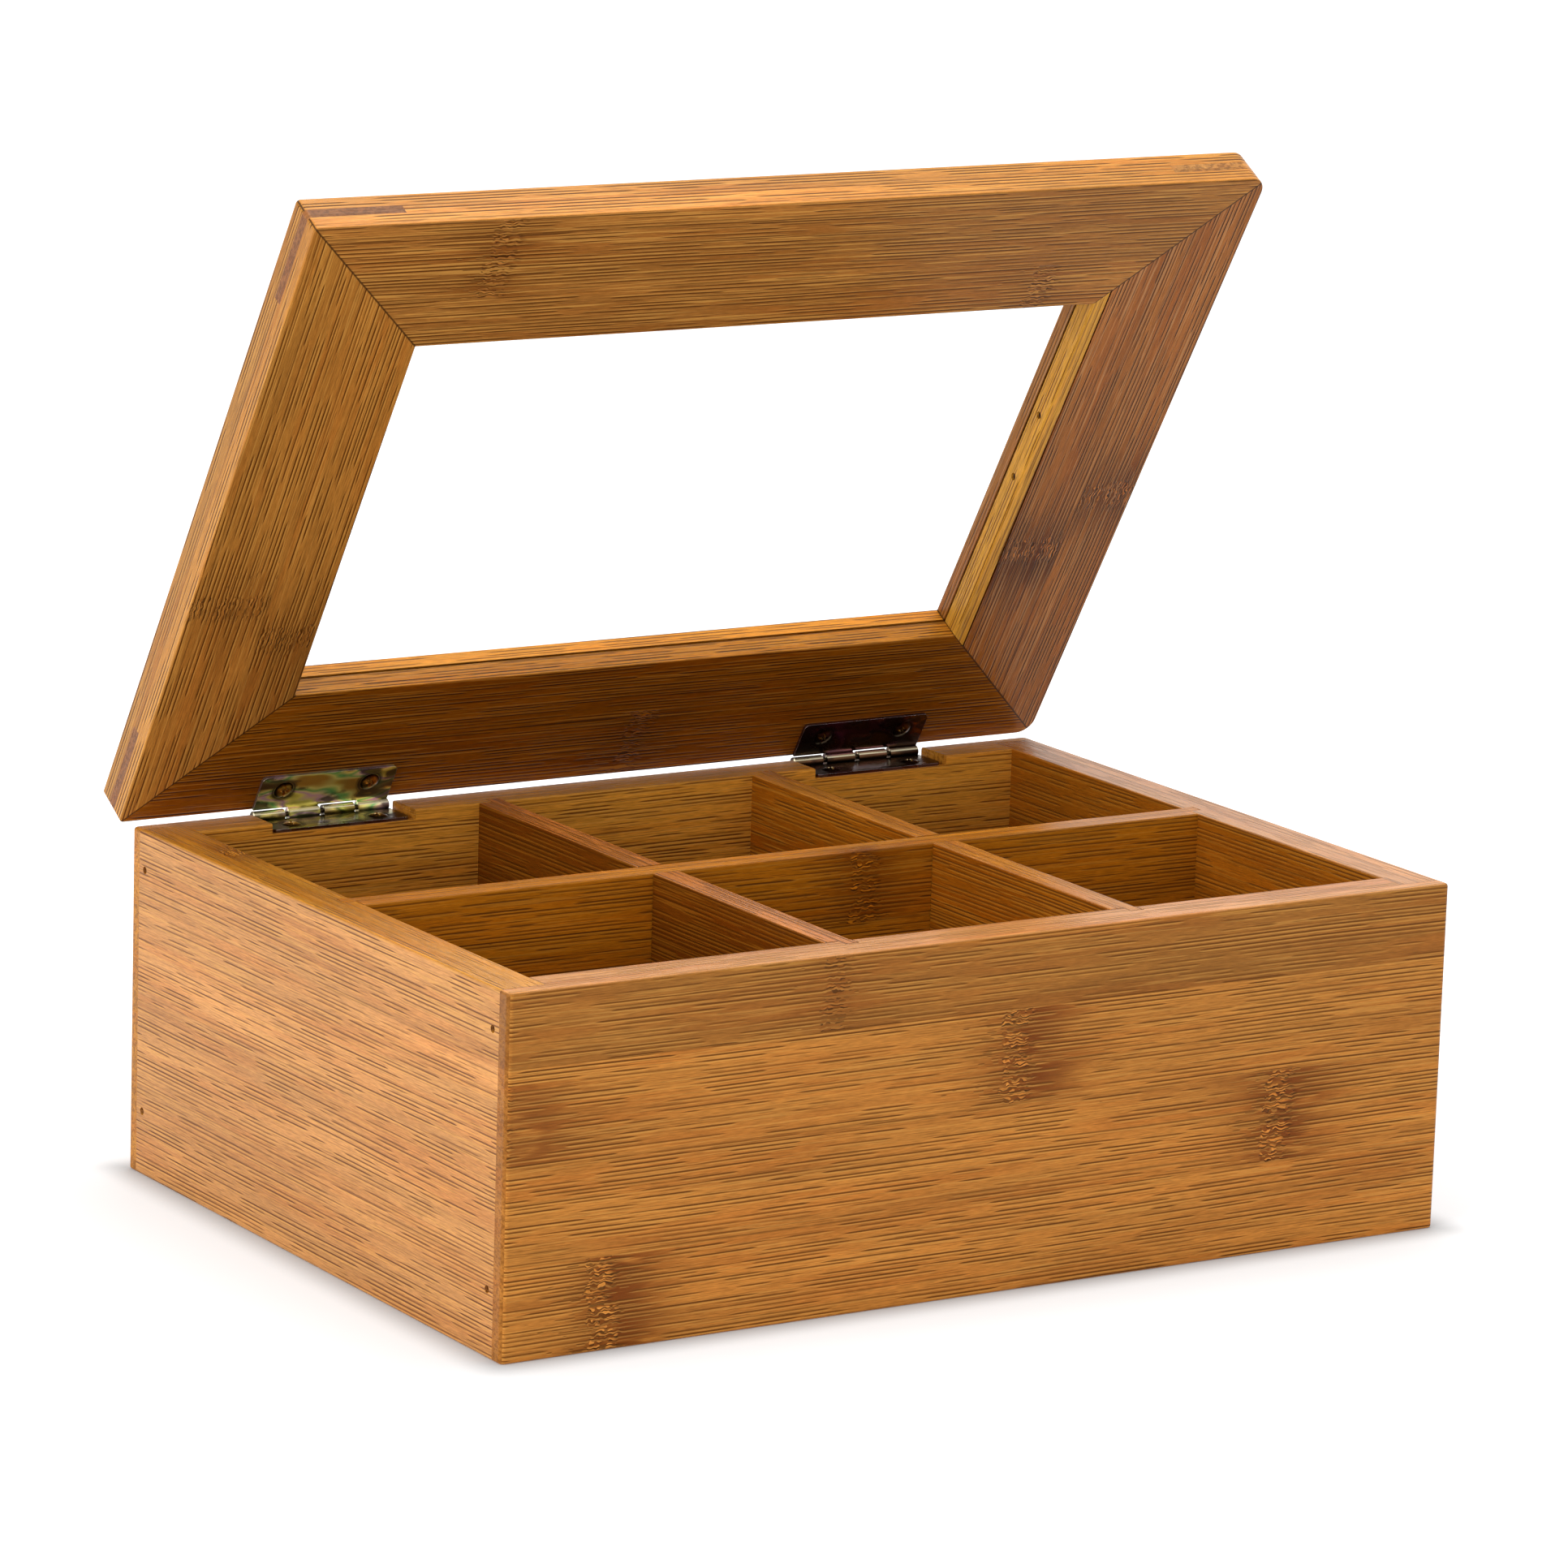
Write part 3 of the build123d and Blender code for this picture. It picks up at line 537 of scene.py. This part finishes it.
shader.inputs["Base Color"].default_value = (0.05, 0.035, 0.02, 1.0)
shader.inputs["Metallic"].default_value = 1.0
shader.inputs["Roughness"].default_value = 0.4
dressed(pin_steel, "left_hinge_pin", "right_hinge_pin")

# ---------------------------------------------------------------- lid frame
# The lid's frame: two rails and two stiles of bamboo, 41 by 12 mm, each of two plies of strips. They are
# mitred at the corners, and a dark line of glue shows in each mitre.
lid_mid = 100.4
corner_x, corner_y = 125.0, 80.35
dressed(bamboo_board(
    "front_rail_bamboo", X, lid_y, on_lid(0, -80.5, lid_mid), (0.37, 0.15, 0.03), (0.1, 0.03, 0.003), pale,
    seed=90, strip=20.5, start=5.5, streaks=2.0, far_ply=0.9, edge=(1.75, 1.75, 1.6), mitre=(corner_x, -1.0),
    joints=[(-92.0, -20.5, 5.5, -1.0, 0.6, 3.0), (80.0, 5.5, 20.5, -1.0, 0.5, 2.0),
            (-30.0, -15.0, 5.5, 1.0, 0.7, 4.0)]), "lid_front_rail")
# The hinge rail's wood is darker than the front rail's: painted shade for the shadow it lies in by the box's
# back.
dressed(bamboo_board(
    "hinge_rail_bamboo", X, lid_y, on_lid(0, 80.2, lid_mid), (0.25, 0.075, 0.003), (0.04, 0.009, 0.0005),
    (0.6, 0.26, 0.04), seed=101, strip=22.5, start=-1.0, streaks=2.0, far_ply=1.3, edge=(2.3, 3.0, 7.0),
    mitre=(corner_x, 1.0),
    joints=[(5.0, -3.0, 20.5, -1.0, 0.5, 3.0), (60.0, -3.0, 20.5, 1.0, 0.5, 3.0)]), "lid_hinge_rail")
dressed(bamboo_board(
    "left_stile_bamboo", lid_y, (-1, 0, 0), on_lid(-corner_x, -0.15, lid_mid), (0.425, 0.175, 0.03),
    (0.1, 0.03, 0.003), pale, seed=112, strip=20.5, start=-3.0, far_ply=0.7, edge=(1.2, 1.25, 1.3),
    mitre=(corner_y, 1.0),
    joints=[(22.0, -3.0, 20.5, -1.0, 0.35, 4.0), (35.0, -20.5, -3.0, -1.0, 0.35, 4.0),
            (-20.0, -3.0, 20.5, 1.0, 0.4, 4.0)]), "lid_left_stile")
dressed(bamboo_board(
    "right_stile_bamboo", lid_y, (-1, 0, 0), on_lid(corner_x, -0.15, lid_mid), (0.36, 0.125, 0.026),
    (0.06, 0.016, 0.002), (0.62, 0.32, 0.13), seed=123, strip=22.0, start=-3.0, streaks=2.0, far_ply=0.9,
    mitre=(corner_y, -1.0),
    joints=[(25.0, -3.0, 19.0, -1.0, 1.0, 8.0), (7.0, -20.5, -3.0, -1.0, 0.8, 4.0),
            (-40.0, -3.0, 19.0, 1.0, 0.5, 4.0)]), "lid_right_stile")

# ---------------------------------------------------------------- keys
# Slips of bamboo glued into saw kerfs across the mitres, with the grain across the corner. Their cut ends
# show on the lid's edges as mottled slivers, brown in three corners and as pale as the rail in the fourth.
brown_slip, pale_slip = (0.3, 0.12, 0.04), (0.66, 0.3, 0.07)
for slip, lean, wood, ends in (("falling", -1, brown_slip, ("front_left", "back_right")),
                               ("rising", 1, brown_slip, ("back_left",)),
                               ("pale", 1, pale_slip, ("front_right",))):
    grain = (Vector(X) + lean * lid_y).normalized()
    dressed(bamboo_board(
        slip + "_key_bamboo", grain, lid_z, on_lid(0, 0, lid_mid), wood, (0.08, 0.025, 0.008), pale,
        seed=134), *(f"lid_{end}_key" for end in ends))

# ---------------------------------------------------------------- pane
# The lid's window: a clear sheet 1.2 mm thick, held in the frame's groove and, at the right, by the glazing
# bead. It has only the faintest smears.
clear_pane, tree, shader = new_finish("clear_pane")
shader.inputs["Base Color"].default_value = (1.0, 1.0, 1.0, 1.0)
shader.inputs["Transmission Weight"].default_value = 1.0
shader.inputs["IOR"].default_value = 1.45
smear = fleck(tree, in_mm(tree), (40.0, 40.0, 40.0), 2.0)
put(tree, shader.inputs["Roughness"], ramp(tree, smear, 0.4, 0.8, 0.0, 0.02))
dressed(clear_pane, "window_pane")

# ---------------------------------------------------------------- glazing bead
# A slim bamboo bead that closes the right stile's rabbet once the pane is in. It is more golden than the
# frame, and two brads hold it.
dressed(bamboo_board(
    "bead_bamboo", lid_y, (-1, 0, 0), on_lid(106, 0, 98), (0.7, 0.34, 0.042), (0.2, 0.07, 0.008), pale,
    seed=145, strip=20.0, streaks=1.6), "glazing_bead")

# ---------------------------------------------------------------- floor, light and camera
# A plain white floor under a white sky, one wide lamp at the left and one above, and the long lens of the
# photograph. The floor shines white to the camera and keeps only the shadow close to the box, where its
# shine fades out: a painted shadow round the box's foot, on top of the real one.
floor_mesh = bpy.data.meshes.new("floor")
far = 12
floor_corners = [(-far, -far, 0), (far, -far, 0), (far, far, 0), (-far, far, 0)]
floor_mesh.from_pydata(floor_corners, [], [(0, 1, 2, 3)])
floor = bpy.data.objects.new("floor", floor_mesh)
bpy.context.scene.collection.objects.link(floor)


def seen(tree):
    """1 for what the camera sees straight, mirrored or through glass, else 0."""
    path = tree.nodes.new("ShaderNodeLightPath")
    mirrored = sums(tree, "MAXIMUM", path.outputs["Is Glossy Ray"], path.outputs["Is Transmission Ray"])
    return sums(tree, "MAXIMUM", path.outputs["Is Camera Ray"], mirrored)


white_floor, tree, shader = new_finish("white_floor")
put(tree, shader.inputs["Base Color"], tint(tree, seen(tree), (0.9, 0.9, 0.9, 1.0), (0.5, 0.5, 0.5, 1.0)))
shader.inputs["Roughness"].default_value = 0.9
shader.inputs["Specular IOR Level"].default_value = 0.0
shader.inputs["Emission Color"].default_value = (1.0, 1.0, 1.0, 1.0)
# Painted shadow: the camera sees the floor at half its albedo, with white light given off that fades out near
# the box's footprint, so the floor renders darker round the box whatever the lamps do.
half_width, half_depth = 0.1425, 0.101
spot = in_parts(tree, tree.nodes.new("ShaderNodeTexCoord").outputs["Object"])
past = []
for part, half in ((spot[0], half_width), (spot[1], half_depth)):
    out_by = sums(tree, "MAXIMUM", sums(tree, "SUBTRACT", sums(tree, "ABSOLUTE", part), half), 0.0)
    past.append(sums(tree, "MULTIPLY", out_by, out_by))
away = sums(tree, "SQRT", sums(tree, "ADD", *past))
glow_fading_to_painted_shadow = sums(tree, "ADD", ramp(tree, away, -0.004, 0.012, 0.0, 0.5), ramp(tree, away, 0.0, 0.2, 0.0, 0.4))
put(tree, shader.inputs["Emission Strength"], sums(tree, "MULTIPLY", seen(tree), glow_fading_to_painted_shadow))
floor_mesh.materials.append(white_floor)

sky = bpy.data.worlds.new("white_sky")
bpy.context.scene.world = sky
sky.use_nodes = True
tree = sky.node_tree
back = tree.nodes["Background"]
put(tree, back.inputs["Strength"], sums(tree, "MULTIPLY_ADD", seen(tree), 0.35, 0.65))
back.inputs["Color"].default_value = (1.0, 1.0, 1.0, 1.0)


def lamp(name, place, aim, size, power):
    """A soft square lamp at a place, turned to the point it lights."""
    light = bpy.data.lights.new(name, "AREA")
    light.size = size
    light.energy = power
    holder = bpy.data.objects.new(name, light)
    bpy.context.scene.collection.objects.link(holder)
    holder.location = place
    holder.rotation_euler = (Vector(aim) - Vector(place)).to_track_quat("-Z", "Y").to_euler()
    return holder


lamp("left_softbox", (-1.5, -0.35, 0.75), (0, 0, 0.06), 1.2, 17.0)
lamp("top_softbox", (0.3, 0.2, 1.7), (0, 0, 0.08), 1.2, 18.0)

camera = bpy.data.objects.new("camera", bpy.data.cameras.new("camera"))
bpy.context.scene.collection.objects.link(camera)
bpy.context.scene.camera = camera
azimuth, elevation, roll = radians(32.209), radians(12.295), radians(1.797)
aim = Matrix.Rotation(-azimuth, 4, "Z")
aim = aim @ Matrix.Rotation(pi / 2 - elevation, 4, "X") @ Matrix.Rotation(roll, 4, "Z")
camera_place = (-0.993069, -1.573272, 0.518541)
camera.matrix_world = Matrix.Translation(camera_place) @ aim
photo_side = 1932
focal_pixels = 8891.4
camera.data.sensor_width = 36.0
camera.data.lens = focal_pixels / photo_side * camera.data.sensor_width
camera.data.clip_start = 0.05
camera.data.clip_end = 60.0

bpy.context.scene.view_settings.view_transform = "Standard"
